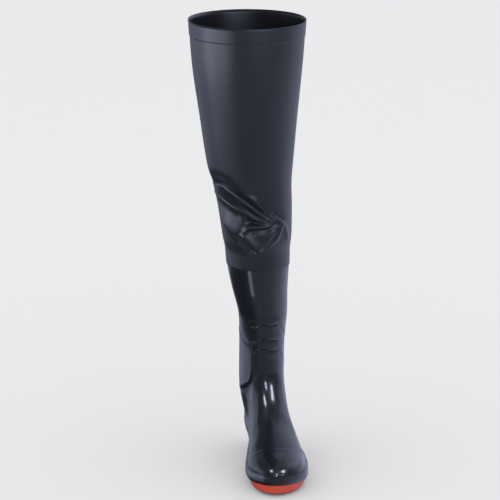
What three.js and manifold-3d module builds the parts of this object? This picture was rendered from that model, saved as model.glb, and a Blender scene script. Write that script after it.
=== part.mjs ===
// A left hip wader: a moulded boot on its own sole, an insole, and a coated fabric leg welded round the boot's collar.
// Millimetres, Z up. The toe points along -Y and the inner side of the foot is at -X.
// The origin is on the floor under the middle of the heel.
import * as THREE from 'three';
import { mergeVertices } from 'three/addons/utils/BufferGeometryUtils.js';
import Module from 'manifold-3d';

const wasm = await Module();
wasm.setup();

// Foot
const footLength = 298;
const heelBack = 38;
const ballWidth = 104;
const waistWidth = 76;
const heelWidth = 70;
const bedHeel = 27;
const bedBall = 12;
const bedToe = 22;
const toeLift = 5;
const instepHeight = 128;
const toeCapHeight = 62;

// Moulded boot
const bootWall = 2.6;
const collarHeight = 384;
const collarWidth = 112;
const collarDepth = 130;
const ankleWidth = 79;
const ankleDepth = 103;
const instepFillet = 34;
const bandHeight = 20;
const bandStep = 3.2;
const ribStep = 1;
const guardStep = 1;
const toeCapStep = 1;
const toeCapAt = 0.755;

// Fabric leg
const legWall = 0.9;
const legHeight = 790;
const kneeHeight = 530;
const kneeWidth = 146;
const kneeDepth = 150;
const thighWidth = 200;
const thighDepth = 214;
const weldLap = 28;
const topHem = 26;
const hemStep = 0.9;
const seamWidth = 12;
const seamStep = 0.6;

// Sole and insole
const soleInset = 0.5;
const soleTaper = 3.5;
const soleRound = 6;
const archHeight = 11;
const heelLength = 78;
const archLength = 44;
const treadDepth = 4.5;
const treadRim = 4;
const treadGroove = 5;
const treadPitch = 16;
const insoleThickness = 3;
const insoleEase = 0.8;

// Gap between pieces that touch
const seatGap = 0.3;

// Columns round every ring: half a fan at the toe, the side, and half a fan at the heel
const toeColumns = 7;
const sideColumns = 8;
const heelColumns = 5;
const columns = 2 * (toeColumns + sideColumns + heelColumns);

const clamp = (t) => Math.min(1, Math.max(0, t));
const mix = (a, b, t) => a + (b - a) * t;
const ease = (t) => clamp(t) ** 2 * (3 - 2 * clamp(t));
const radians = THREE.MathUtils.degToRad;

// One column of a table as a smooth function of its first column. Monotone cubic, so no row is overshot.
function curve(rows, at, key) {
  const x = rows.map((row) => row[at]);
  const y = rows.map((row) => row[key]);
  const last = x.length - 1;
  const slope = x.slice(1).map((value, i) => (y[i + 1] - y[i]) / (value - x[i]));
  const tangent = x.map((_, i) => {
    if (i === 0) return slope[0];
    if (i === last) return slope[last - 1];
    const product = slope[i - 1] * slope[i];
    return product > 0 ? (2 * product) / (slope[i - 1] + slope[i]) : 0;
  });
  return (value) => {
    const t = Math.min(x[last], Math.max(x[0], value));
    let i = 0;
    while (i < last - 1 && t > x[i + 1]) i += 1;
    const h = x[i + 1] - x[i];
    const u = (t - x[i]) / h;
    const rise = u * u * (3 - 2 * u);
    return y[i] + (y[i + 1] - y[i]) * rise + h * tangent[i] * u * (1 - u) ** 2 - h * tangent[i + 1] * u * u * (1 - u);
  };
}

// Share of the foot's length, from the back of the heel to the toe tip
const along = (y) => (heelBack - y) / footLength;
const placeAlong = (share) => heelBack - share * footLength;

// The sole's outline: distances of the inner and outer edge from the axis between heel and second toe
const outlineRows = [
  { at: 0.13, inner: 0.43 * heelWidth, outer: 0.49 * heelWidth },
  { at: 0.26, inner: 0.43 * heelWidth, outer: 0.54 * heelWidth },
  { at: 0.42, inner: 0.46 * waistWidth, outer: 0.65 * waistWidth },
  { at: 0.56, inner: 0.385 * ballWidth, outer: 0.57 * ballWidth },
  { at: 0.66, inner: 0.42 * ballWidth, outer: 0.58 * ballWidth },
  { at: 0.73, inner: 0.425 * ballWidth, outer: 0.555 * ballWidth },
];
const heelRoundAt = outlineRows[0].at;
const toeRoundAt = outlineRows.at(-1).at;
const toeTipOffset = -0.01 * ballWidth;
const innerRow = curve(outlineRows, 'at', 'inner');
const outerRow = curve(outlineRows, 'at', 'outer');

function edges(share) {
  const heel = share < heelRoundAt ? Math.sqrt(Math.max(0, 1 - ((heelRoundAt - share) / heelRoundAt) ** 2)) : 1;
  const toe = clamp((share - toeRoundAt) / (1 - toeRoundAt));
  const inner = (1 - toe ** 2.1) ** (1 / 1.95);
  const outer = (1 - toe ** 2) ** (1 / 1.95);
  return {
    inner: mix(toeTipOffset * (toe > 0), -innerRow(share) * heel, toe > 0 ? inner : 1),
    outer: mix(toeTipOffset * (toe > 0), outerRow(share) * heel, toe > 0 ? outer : 1),
  };
}

// Height of the sole's top edge, and of the ground face, along the foot
const bedRows = [
  { at: 0, bed: bedHeel, ground: 0 },
  { at: 0.25, bed: 0.97 * bedHeel, ground: 0 },
  { at: 0.45, bed: mix(bedBall, bedHeel, 0.45), ground: 0 },
  { at: 0.6, bed: bedBall, ground: 0 },
  { at: 0.72, bed: mix(bedBall, bedToe, 0.1), ground: 0 },
  { at: 0.86, bed: mix(bedBall, bedToe, 0.5), ground: 0.2 * toeLift },
  { at: 1, bed: bedToe, ground: toeLift },
];
const bed = curve(bedRows, 'at', 'bed');
const ground = curve(bedRows, 'at', 'ground');

// The foot as a wedge: height of its ridge, and how far the ridge lies to the inner side
const ridgeRows = [
  { at: 0.3, top: 1.12 * instepHeight, side: 0.1, square: 2.1, flat: 2.4 },
  { at: 0.38, top: instepHeight, side: 0.12, square: 2.0, flat: 2.4 },
  { at: 0.46, top: 0.84 * instepHeight, side: 0.15, square: 1.9, flat: 2.4 },
  { at: 0.54, top: 0.69 * instepHeight, side: 0.17, square: 1.9, flat: 2.3 },
  { at: 0.62, top: 1.27 * toeCapHeight, side: 0.18, square: 1.95, flat: 2.3 },
  { at: 0.7, top: 1.09 * toeCapHeight, side: 0.16, square: 2.1, flat: 2.6 },
  { at: 0.755, top: 0.995 * toeCapHeight, side: 0.13, square: 2.4, flat: 3.0 },
  { at: 0.8, top: 0.965 * toeCapHeight, side: 0.1, square: 2.6, flat: 3.3 },
  { at: 0.88, top: 0.94 * toeCapHeight, side: 0.06, square: 2.8, flat: 3.5 },
  { at: 1, top: 0.88 * toeCapHeight, side: 0, square: 2.8, flat: 3.5 },
];
const ridgeTop = curve(ridgeRows, 'at', 'top');
const ridgeSide = curve(ridgeRows, 'at', 'side');
const ridgeSquare = curve(ridgeRows, 'at', 'square');
const ridgeFlat = curve(ridgeRows, 'at', 'flat');
const toeWallAt = 0.84;

function footTop(share) {
  const toe = clamp((share - toeWallAt) / (1 - toeWallAt));
  return bed(share) + (ridgeTop(share) - bed(share)) * (1 - toe ** 4) ** (1 / 2.8);
}

// Negative inside the foot, in about millimetres
function foot(x, y, z) {
  const share = along(y);
  if (share >= 1) return footLength * (share - 1) + 0.01;
  const edge = edges(Math.max(share, heelRoundAt));
  const ridge = mix((edge.outer + edge.inner) / 2, edge.inner, ridgeSide(share));
  const across = x < ridge ? (ridge - x) / (ridge - edge.inner) : (x - ridge) / (edge.outer - ridge);
  const rise = Math.max(0, z - bed(share)) / Math.max(0.01, footTop(share) - bed(share));
  const radius = (across ** ridgeFlat(share) + rise ** ridgeSquare(share)) ** (1 / 2.2);
  const wedge = Math.hypot(x - ridge, z - bed(share)) * (1 - 1 / Math.max(0.01, radius));
  return Math.max(wedge, y);
}

// The shaft: middle and size of its section at heights up the boot and the leg
const shaftRows = [
  { height: 0, x: 2, y: -12, width: 0.93 * heelWidth, depth: 0.97 * ankleDepth },
  { height: 0.17 * collarHeight, x: 1, y: -14, width: 0.93 * heelWidth, depth: ankleDepth },
  { height: 0.25 * collarHeight, x: -4, y: -16, width: 0.94 * ankleWidth, depth: ankleDepth },
  { height: 0.3 * collarHeight, x: -6, y: -17, width: 0.98 * ankleWidth, depth: ankleDepth },
  { height: 0.38 * collarHeight, x: -6.5, y: -18, width: ankleWidth, depth: ankleDepth },
  { height: 0.53 * collarHeight, x: -6, y: -18, width: ankleWidth, depth: 1.01 * ankleDepth },
  { height: 0.67 * collarHeight, x: -5, y: -20, width: mix(ankleWidth, collarWidth, 0.2), depth: mix(ankleDepth, collarDepth, 0.3) },
  { height: 0.82 * collarHeight, x: -11, y: -23, width: mix(ankleWidth, collarWidth, 0.63), depth: mix(ankleDepth, collarDepth, 0.72) },
  { height: 0.93 * collarHeight, x: -14, y: -25, width: 0.98 * collarWidth, depth: 0.97 * collarDepth },
  { height: collarHeight, x: -15, y: -26, width: collarWidth, depth: collarDepth },
];
const legRows = [
  { height: collarHeight - weldLap, ...sectionAt(shaftRows, collarHeight - weldLap) },
  { height: collarHeight - weldLap / 2, ...sectionAt(shaftRows, collarHeight - weldLap / 2) },
  { height: collarHeight, ...sectionAt(shaftRows, collarHeight) },
  { height: mix(collarHeight, kneeHeight, 0.15), x: -16, y: -27, width: mix(collarWidth, kneeWidth, 0.2), depth: mix(collarDepth, kneeDepth, 0.4) },
  { height: mix(collarHeight, kneeHeight, 0.55), x: -20, y: -28, width: mix(collarWidth, kneeWidth, 0.48), depth: mix(collarDepth, kneeDepth, 0.8) },
  { height: mix(collarHeight, kneeHeight, 0.78), x: -24, y: -28, width: mix(collarWidth, kneeWidth, 0.66), depth: kneeDepth },
  { height: kneeHeight, x: -28, y: -28, width: kneeWidth, depth: 1.03 * kneeDepth },
  { height: mix(kneeHeight, legHeight, 0.35), x: -31, y: -28, width: mix(kneeWidth, thighWidth, 0.4), depth: mix(kneeDepth, thighDepth, 0.4) },
  { height: mix(kneeHeight, legHeight, 0.75), x: -33, y: -27, width: mix(kneeWidth, thighWidth, 0.84), depth: mix(kneeDepth, thighDepth, 0.84) },
  { height: legHeight, x: -33, y: -26, width: thighWidth, depth: thighDepth },
];

function sectionAt(rows, height) {
  return Object.fromEntries(['x', 'y', 'width', 'depth'].map((key) => [key, curve(rows, 'height', key)(height)]));
}

// Negative inside the tube that a table of sections describes, in about millimetres
function tube(rows) {
  const [midX, midY, width, depth] = ['x', 'y', 'width', 'depth'].map((key) => curve(rows, 'height', key));
  return (x, y, z) => {
    const across = Math.abs(x - midX(z));
    const deep = Math.abs(y - midY(z));
    const radius = (((2 * across) / width(z)) ** 2.1 + ((2 * deep) / depth(z)) ** 2.1) ** (1 / 2.1);
    return Math.hypot(across, deep) * (1 - 1 / Math.max(0.01, radius));
  };
}
const shaft = tube(shaftRows);
const fabric = tube(legRows);

function outline(x, y) {
  const share = along(y);
  if (share <= 0 || share >= 1) return footLength * Math.max(-share, share - 1) + 0.01;
  const edge = edges(share);
  const half = (edge.outer - edge.inner) / 2;
  return Math.abs(x - (edge.outer + edge.inner) / 2) - half;
}

// Foot and shaft joined with a soft hollow at the instep, and drawn to the sole's outline at the bottom
function boot(x, y, z) {
  const a = foot(x, y, z);
  const b = shaft(x, y, z);
  const blend = clamp(0.5 + (b - a) / (2 * instepFillet));
  const joined = mix(b, a, blend) - instepFillet * blend * (1 - blend);
  const low = ease((z - bed(along(y))) / (1.6 * bandHeight));
  return mix(outline(x, y), joined, low);
}

// Rings round the boot, from the sole's edge up to the collar, as seen from the side: where each one meets the toe,
// instep or shin, where it meets the back, and how much of the sole's curve it follows
const ringRows = [
  { ring: 0, front: 1, frontHeight: bedToe, backHeight: bedHeel, follow: 1 },
  { ring: 1, front: 1, frontHeight: bedToe + bandHeight, backHeight: bedHeel + bandHeight, follow: 1 },
  { ring: 2, front: 0.975, frontHeight: 0.85 * toeCapHeight, backHeight: bedHeel + 1.15 * bandHeight, follow: 1 },
  { ring: 3, front: 0.92, frontHeight: 0.93 * toeCapHeight, backHeight: bedHeel + 1.3 * bandHeight, follow: 0.9 },
  { ring: 4, front: 0.85, frontHeight: 0.965 * toeCapHeight, backHeight: bedHeel + 1.45 * bandHeight, follow: 0.8 },
  { ring: 5, front: 0.77, frontHeight: toeCapHeight, backHeight: bedHeel + 1.6 * bandHeight, follow: 0.65 },
  { ring: 6, front: 0.69, frontHeight: 1.09 * toeCapHeight, backHeight: 0.53 * instepHeight, follow: 0.5 },
  { ring: 7, front: 0.61, frontHeight: 1.27 * toeCapHeight, backHeight: 0.58 * instepHeight, follow: 0.3 },
  { ring: 8, front: 0.53, frontHeight: 0.73 * instepHeight, backHeight: 0.64 * instepHeight, follow: 0.15 },
  { ring: 9, front: 0.46, frontHeight: 0.87 * instepHeight, backHeight: 0.72 * instepHeight, follow: 0 },
  { ring: 10, front: 0.4, frontHeight: 1.02 * instepHeight, backHeight: 0.83 * instepHeight, follow: 0 },
  { ring: 11, front: 0.37, frontHeight: 1.2 * instepHeight, backHeight: 1.0 * instepHeight, follow: 0 },
  { ring: 12, front: 0.36, frontHeight: 1.4 * instepHeight, backHeight: 1.27 * instepHeight, follow: 0 },
  { ring: 13, front: 0.36, frontHeight: 0.5 * collarHeight, backHeight: 0.5 * collarHeight, follow: 0 },
  { ring: 14, front: 0.37, frontHeight: 0.65 * collarHeight, backHeight: 0.65 * collarHeight, follow: 0 },
  { ring: 15, front: 0.42, frontHeight: collarHeight, backHeight: collarHeight, follow: 0 },
];
const ringFront = curve(ringRows, 'ring', 'front');
const ringFrontHeight = curve(ringRows, 'ring', 'frontHeight');
const ringBackHeight = curve(ringRows, 'ring', 'backHeight');
const ringFollow = curve(ringRows, 'ring', 'follow');

// How far the two fans' middles lie from the ring's ends, as shares of the ring's length
const fanShare = (length) => Math.min(0.33, 46 / length);

// A ring's line in the side view, with the height of any place on it
function bootRing(ring) {
  const front = placeAlong(ringFront(ring));
  const frontHeight = ringFrontHeight(ring);
  const backHeight = ringBackHeight(ring);
  const follow = ringFollow(ring);
  const height = (y) => {
    const t = (heelBack - y) / (heelBack - front);
    const sole = bed(along(y)) - mix(bedHeel, bedToe, along(y));
    return mix(backHeight, frontHeight, t) + follow * sole;
  };
  return { front, back: heelBack, height };
}

function levelRing(z, rows) {
  const section = sectionAt(rows, z);
  return { front: section.y - section.depth / 2, back: section.y + section.depth / 2, height: () => z };
}

// Ray number j of a ring, seen from above: 0 points at the toe, and the outer side comes first
function ray(ring, j) {
  const length = ring.back - ring.front;
  const inset = fanShare(length) * length;
  const half = columns / 2;
  const k = j <= half ? j : columns - j;
  const side = j <= half ? 1 : -1;
  if (k <= toeColumns) {
    const angle = (k / toeColumns) * (Math.PI / 2);
    return { y: ring.front + inset, dx: side * Math.sin(angle), dy: -Math.cos(angle) };
  }
  if (k <= toeColumns + sideColumns) {
    const t = (k - toeColumns) / sideColumns;
    return { y: mix(ring.front + inset, ring.back - inset, t), dx: side, dy: 0 };
  }
  const angle = ((k - toeColumns - sideColumns) / heelColumns) * (Math.PI / 2);
  return { y: ring.back - inset, dx: side * Math.cos(angle), dy: Math.sin(angle) };
}

// Where the wall of a form lies along each ray of a ring
function ringPoints(form, ring, middle) {
  return Array.from({ length: columns }, (_, j) => {
    const { y, dx, dy } = ray(ring, j);
    const x0 = middle(ring.height(y));
    const at = (r) => [x0 + dx * r, y + dy * r, ring.height(y + dy * r)];
    let inside = 0;
    let outside = 4;
    while (form(...at(outside)) < 0 && outside < 300) {
      inside = outside;
      outside += 4;
    }
    for (let i = 0; i < 30; i += 1) {
      const r = (inside + outside) / 2;
      if (form(...at(r)) < 0) inside = r;
      else outside = r;
    }
    return new THREE.Vector3(...at(inside));
  });
}

// Outward directions of a grid of rings, level on its first and last ring
function directions(grid) {
  return grid.map((ring, i) =>
    ring.map((_, j) => {
      const up = grid[Math.min(grid.length - 1, i + 1)][j].clone().sub(grid[Math.max(0, i - 1)][j]);
      const round = ring[(j + 1) % columns].clone().sub(ring[(j + columns - 1) % columns]);
      const out = round.cross(up);
      if (i === 0 || i === grid.length - 1) out.setZ(0);
      return out.normalize();
    }),
  );
}

const shifted = (grid, out, by) => grid.map((ring, i) => ring.map((p, j) => p.clone().addScaledVector(out[i][j], by(p, i, j))));

// A closed solid from rings of equal length, joined one after another and round to the first
function loop(rings) {
  const vertices = rings.flat().flatMap((p) => [p.x, p.y, p.z]);
  const faces = [];
  rings.forEach((_, i) => {
    const next = (i + 1) % rings.length;
    for (let j = 0; j < columns; j += 1) {
      const k = (j + 1) % columns;
      const [a, b, c, d] = [i * columns + j, i * columns + k, next * columns + k, next * columns + j];
      faces.push(a, b, c, a, c, d);
    }
  });
  return surface(vertices, faces);
}

// A closed solid between a bottom ring and a top ring, whose flat ends are strips from side to side
function plate(rings) {
  const vertices = rings.flat().flatMap((p) => [p.x, p.y, p.z]);
  const top = (rings.length - 1) * columns;
  const faces = [];
  for (let i = 0; i < rings.length - 1; i += 1) {
    for (let j = 0; j < columns; j += 1) {
      const k = (j + 1) % columns;
      const [a, b, c, d] = [i * columns + j, i * columns + k, (i + 1) * columns + k, (i + 1) * columns + j];
      faces.push(a, b, c, a, c, d);
    }
  }
  for (let j = 0; j < columns / 2; j += 1) {
    const [a, b, c, d] = [j, j + 1, columns - j - 1, (columns - j) % columns];
    if (b !== c) faces.push(top + a, top + b, top + c, a, c, b);
    if (a !== d) faces.push(top + a, top + c, top + d, a, d, c);
  }
  return surface(vertices, faces);
}

function surface(vertices, faces) {
  const geometry = new THREE.BufferGeometry();
  geometry.setAttribute('position', new THREE.Float32BufferAttribute(vertices, 3));
  geometry.setIndex(faces);
  return geometry;
}

function solidOf(geometry) {
  const bare = new THREE.BufferGeometry().setAttribute('position', geometry.getAttribute('position'));
  bare.setIndex(geometry.index);
  const merged = mergeVertices(bare, 1e-3);
  const index = merged.index ?? { array: [...Array(merged.getAttribute('position').count).keys()] };
  return new wasm.Manifold(new wasm.Mesh({
    numProp: 3,
    vertProperties: merged.getAttribute('position').array,
    triVerts: new Uint32Array(index.array),
  }));
}

function geometryOf(solid) {
  const { numProp, vertProperties, triVerts } = solid.getMesh();
  const position = [];
  for (let i = 0; i < vertProperties.length; i += numProp) position.push(...vertProperties.subarray(i, i + 3));
  return surface(position, [...triVerts]);
}

// Angle round the shaft, from the front: plus is the outer side, minus the inner side
function bearing(p) {
  const section = sectionAt(p.z < collarHeight ? shaftRows : legRows, p.z);
  return THREE.MathUtils.radToDeg(Math.atan2(p.x - section.x, section.y - p.y));
}

// Height over the sole's edge
const overBed = (p) => p.z - bed(along(p.y));

// Where a place lies from a line of points: the nearest distance, plus above the line's run, and how strong it is there
function fromLine(u, v, line) {
  let best = { off: Infinity, strength: 0 };
  for (let i = 0; i < line.length - 1; i += 1) {
    const [a, b] = [line[i], line[i + 1]];
    const [du, dv] = [b.u - a.u, b.v - a.v];
    const t = clamp(((u - a.u) * du + (v - a.v) * dv) / (du * du + dv * dv));
    const off = Math.hypot(u - a.u - t * du, v - a.v - t * dv);
    const side = Math.sign(du * (v - a.v) - dv * (u - a.u));
    if (off < Math.abs(best.off)) best = { off: side * off, strength: mix(a.strength, b.strength, t) };
  }
  return best;
}

// Distance round the ankle from the front, from an angle
const ankleArc = (angle) => (radians(angle) * ankleDepth) / 2;
const onAnkle = (rows) => rows.map((row) => ({ u: ankleArc(row.angle), v: row.height * collarHeight, strength: row.strength ?? 1 }));

// Grooves between the flex ribs, from the inner side over the shin to the outer side
const upperGroove = onAnkle([
  { angle: -32, height: 0.647, strength: 0 },
  { angle: -21, height: 0.653, strength: 0.9 },
  { angle: 8, height: 0.659, strength: 1 },
  { angle: 27, height: 0.657, strength: 1 },
  { angle: 64, height: 0.583, strength: 0.6 },
  { angle: 84, height: 0.56, strength: 0 },
]);
const middleGroove = onAnkle([
  { angle: -29, height: 0.58, strength: 0 },
  { angle: -17, height: 0.583, strength: 0.9 },
  { angle: 31, height: 0.578, strength: 1 },
  { angle: 58, height: 0.53, strength: 0 },
]);
const lowerGroove = onAnkle([
  { angle: -26, height: 0.53, strength: 0 },
  { angle: -13, height: 0.533, strength: 0.9 },
  { angle: 29, height: 0.529, strength: 1 },
  { angle: 60, height: 0.453, strength: 0.6 },
  { angle: 78, height: 0.42, strength: 0 },
]);
const grooves = [upperGroove, middleGroove, lowerGroove];
const ribSoftness = 8;
const grooveSoftness = 2;

function ribRelief(p) {
  const arc = ankleArc(bearing(p));
  return grooves.reduce((sum, groove) => {
    const { off, strength } = fromLine(arc, p.z, groove);
    const swell = Math.exp(-(((Math.abs(off) - ribSoftness / 2) / ribSoftness) ** 2));
    return sum + ribStep * strength * (swell - 1.2 * Math.exp(-((off / grooveSoftness) ** 2)));
  }, 0);
}

// The ankle guard's edge, from its front and round over its top to the inner side
const guardEdge = onAnkle([
  { angle: -23, height: 0.44 },
  { angle: -23, height: 0.5 },
  { angle: -40, height: 0.568 },
  { angle: -95, height: 0.6 },
  { angle: -128, height: 0.6 },
  { angle: -128, height: 0.34 },
  { angle: -95, height: 0.31 },
  { angle: -48, height: 0.347 },
  { angle: -27, height: 0.394 },
  { angle: -23, height: 0.44 },
]);
const guardSoftness = 5;

function guardRelief(p) {
  const u = ankleArc(bearing(p));
  const { off } = fromLine(u, p.z, guardEdge);
  const crossings = guardEdge.slice(1).filter((b, i) => {
    const a = guardEdge[i];
    return a.v > p.z !== b.v > p.z && u < a.u + ((p.z - a.v) * (b.u - a.u)) / (b.v - a.v);
  });
  const deep = crossings.length % 2 === 1 ? Math.abs(off) : -Math.abs(off);
  return guardStep * ease(0.5 + deep / guardSoftness);
}

// The side band: hardly there at the heel, full along the forefoot, low again in front of the toes
function bandRelief(p) {
  const share = along(p.y);
  const h = overBed(p) / bandHeight;
  const forward = mix(0.12, 1, ease((share - 0.3) / 0.3)) * mix(1, 0.3, ease((share - 0.86) / 0.1));
  return bandStep * forward * mix(0.5, 1, ease(h / 0.2)) * (1 - ease((h - 0.8) / 0.3));
}

// The toe cap stands proud in front of a line that runs back on the outer side
function capRelief(p) {
  const line = toeCapAt - 0.17 * clamp((p.x - 0.18 * ballWidth) / (0.36 * ballWidth)) ** 3;
  return toeCapStep * ease(0.5 + (along(p.y) - line) / 0.03) * ease((overBed(p) - bandHeight + 2) / 8);
}

// Folds of the slack fabric between the collar and the knee. Each is a ridge (plus) or a trough (minus) along a line,
// from one bearing and height to another. Heights and widths are shares of that length of fabric.
const foldRows = [
  { from: -64, fromHeight: 0.77, to: 18, toHeight: 0.42, width: 0.06, depth: -7 },
  { from: -64, fromHeight: 0.72, to: 8, toHeight: 0.44, width: 0.045, depth: 4.5 },
  { from: 10, fromHeight: 0.38, to: -19, toHeight: 0.33, width: 0.035, depth: 4 },
  { from: -70, fromHeight: 0.41, to: -30, toHeight: 0.24, width: 0.09, depth: 7 },
  { from: -22, fromHeight: 0.24, to: -3, toHeight: 0.09, width: 0.045, depth: 4.5 },
  { from: -28, fromHeight: 0.23, to: -9, toHeight: 0.06, width: 0.035, depth: -4 },
  { from: 24, fromHeight: 0.48, to: 32, toHeight: 0.36, width: 0.04, depth: 4 },
  { from: 32, fromHeight: 0.36, to: 18, toHeight: 0.17, width: 0.04, depth: 4 },
  { from: 100, fromHeight: 0.57, to: 185, toHeight: 0.42, width: 0.05, depth: -3 },
  { from: 105, fromHeight: 0.47, to: 185, toHeight: 0.35, width: 0.045, depth: 3 },
  { from: -190, fromHeight: 0.31, to: -135, toHeight: 0.43, width: 0.045, depth: -3 },
  { from: -195, fromHeight: 0.23, to: -135, toHeight: 0.34, width: 0.045, depth: 3 },
];

function foldRelief(p) {
  const round = (kneeWidth + kneeDepth) / 4;
  const slack = kneeHeight - collarHeight;
  const angle = bearing(p);
  return foldRows.reduce((sum, row) => {
    const dx = radians(row.to - row.from) * round;
    const dz = (row.toHeight - row.fromHeight) * slack;
    const turn = ((angle - (row.from + row.to) / 2 + 900) % 360) - 180;
    const x = radians(turn) * round + dx / 2;
    const z = p.z - collarHeight - row.fromHeight * slack;
    const t = clamp((x * dx + z * dz) / (dx * dx + dz * dz));
    const off = Math.hypot(x - t * dx, z - t * dz) / (row.width * slack);
    return sum + row.depth * Math.exp(-(off ** 2)) * ease((p.z - collarHeight) / 8);
  }, 0);
}

function legRelief(p) {
  const hem = p.z > legHeight - topHem ? hemStep : 0;
  const fromBack = Math.abs(p.x - sectionAt(legRows, p.z).x);
  const seam = p.y > sectionAt(legRows, p.z).y && fromBack < seamWidth ? seamStep : 0;
  return hem + seam + (p.z > collarHeight ? foldRelief(p) : 0);
}

const shaftMiddle = curve(shaftRows, 'height', 'x');
const legMiddle = curve(legRows, 'height', 'x');
const soleMiddle = (z) => 0 * z;

// Ring numbers up to the ankle, then heights as shares of the collar's
const lapHeight = collarHeight - weldLap;
const footRings = [0, 0.25, 0.94, 1.01, 1.5, 2, 2.5, 3, 3.5, 4, 4.5, 5, 5.5, 6, 6.5, 7, 7.5, 8, 8.5, 9, 9.5, 10, 10.5, 11, 12];
const grooveHeights = [0.531, 0.582, 0.658].map((share) => share * collarHeight);
const besideGroove = (z) => [z - 4, z, z + 4];
const shaftHeights = [
  0.5 * collarHeight,
  ...grooveHeights.slice(0, 2).flatMap(besideGroove),
  0.62 * collarHeight,
  ...grooveHeights.slice(2).flatMap(besideGroove),
  0.72 * collarHeight,
  0.8 * collarHeight,
  0.87 * collarHeight,
  lapHeight,
  collarHeight - weldLap / 2,
  collarHeight,
];

function bootUpper() {
  const rings = [...footRings.map((n) => bootRing(n)), ...shaftHeights.map((z) => levelRing(z, shaftRows))];
  const base = rings.map((ring) => ringPoints(boot, ring, (z) => shaftMiddle(z)));
  const out = directions(base);
  const relief = (p) => bandRelief(p) + capRelief(p) + ribRelief(p) + guardRelief(p);
  const outer = shifted(base, out, relief);
  const inner = shifted(base, out, () => -bootWall);
  return loop([...outer, ...inner.toReversed()]);
}

function legTube() {
  const heights = [lapHeight, collarHeight - weldLap / 2, collarHeight];
  for (let t = 0.07; t < 0.99; t += 0.07) heights.push(mix(collarHeight, kneeHeight, t));
  for (let t = 0; t < 0.9; t += 0.25) heights.push(mix(kneeHeight, legHeight - topHem, t));
  heights.push(legHeight - topHem - 0.5, legHeight - topHem + 0.5, legHeight);
  const base = heights.map((z) => ringPoints(fabric, levelRing(z, legRows), (height) => legMiddle(height)));
  const out = directions(base);
  const inner = shifted(base, out, (p) => seatGap + (p.z > collarHeight ? foldRelief(p) : 0));
  const outer = shifted(base, out, (p) => seatGap + legWall + legRelief(p));
  return loop([...outer, ...inner.toReversed()]);
}

// A ring on the sole's outline, drawn in by an inset, at a height given along the foot
function soleRing(inset, heightAt) {
  const ring = { front: placeAlong(1), back: heelBack, height: () => 0 };
  return ringPoints((x, y) => outline(x, y), ring, soleMiddle).map((p, j, all) => {
    const round = all[(j + 1) % columns].clone().sub(all[(j + columns - 1) % columns]);
    const out = new THREE.Vector3(-round.y, round.x, 0).normalize();
    const q = p.clone().addScaledVector(out, inset);
    return q.setZ(heightAt(along(q.y)));
  });
}

function prism(shape, from, to) {
  const geometry = new THREE.ExtrudeGeometry(shape, { depth: to - from, bevelEnabled: false, curveSegments: 8 });
  geometry.translate(0, 0, from);
  return geometry;
}

// The hollow under the arch, from the heel's breast to the forefoot
function archCut() {
  const breast = heelBack - heelLength;
  const shape = new THREE.Shape();
  shape.moveTo(-breast, -1);
  shape.lineTo(-breast, 0.75 * archHeight);
  shape.quadraticCurveTo(-breast + 0.1 * archLength, archHeight, -breast + 0.3 * archLength, 0.85 * archHeight);
  shape.lineTo(-breast + archLength, -1);
  const geometry = prism(shape, -ballWidth, ballWidth);
  geometry.rotateX(Math.PI / 2);
  geometry.rotateZ(-Math.PI / 2);
  return solidOf(geometry);
}

// One chevron pocket of the tread, with its point towards the toe
function groove(y) {
  const w = ballWidth;
  const shape = new THREE.Shape();
  shape.moveTo(-w, y + 0.18 * w);
  shape.lineTo(0, y);
  shape.lineTo(w, y + 0.18 * w);
  shape.lineTo(w, y + 0.18 * w + treadGroove);
  shape.lineTo(0, y + treadGroove);
  shape.lineTo(-w, y + 0.18 * w + treadGroove);
  return solidOf(prism(shape, -1, ground(along(y)) + treadDepth));
}

function outsole() {
  const body = solidOf(plate([
    soleRing(soleInset + soleTaper + soleRound, ground),
    soleRing(soleInset + soleTaper + 0.3 * soleRound, (s) => ground(s) + 0.3 * soleRound),
    soleRing(soleInset + soleTaper, (s) => ground(s) + soleRound),
    soleRing(soleInset, (s) => bed(s) - seatGap),
  ]));
  const rim = soleInset + soleTaper + soleRound + treadRim;
  const tread = solidOf(plate([soleRing(rim, () => -1), soleRing(rim, () => bedHeel)]));
  const heelGrooves = [-1.5, 0.5].map((n) => n * treadPitch - treadGroove / 2);
  const first = heelBack - heelLength - archLength - treadPitch;
  const count = Math.floor((first - placeAlong(0.93)) / treadPitch);
  const frontGrooves = Array.from({ length: count }, (_, i) => first - i * treadPitch);
  const cuts = [...heelGrooves, ...frontGrooves].map((y) => groove(y));
  const pockets = cuts.reduce((all, cut) => all.add(cut)).intersect(tread);
  return geometryOf(body.subtract(archCut()).subtract(pockets));
}

function insole() {
  const inset = bootWall + insoleEase;
  return plate([soleRing(inset, (s) => bed(s)), soleRing(inset, (s) => bed(s) + insoleThickness)]);
}

const blackPvc = new THREE.MeshStandardMaterial({ color: 0x14161d, roughness: 0.18, metalness: 0 });
const orangePvc = new THREE.MeshStandardMaterial({ color: 0xd8401f, roughness: 0.45, metalness: 0 });
const blackCloth = new THREE.MeshStandardMaterial({ color: 0x191b22, roughness: 0.42, metalness: 0 });
const greyFelt = new THREE.MeshStandardMaterial({ color: 0x5a5a58, roughness: 0.95, metalness: 0 });

function piece(name, geometry, material) {
  const mesh = new THREE.Mesh(geometry, material);
  mesh.name = name;
  return mesh;
}

const wader = new THREE.Group();
wader.add(
  piece('outsole', outsole(), orangePvc),
  piece('boot', bootUpper(), blackPvc),
  piece('insole', insole(), greyFelt),
  piece('leg', legTube(), blackCloth),
);

export default wader;
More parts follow.
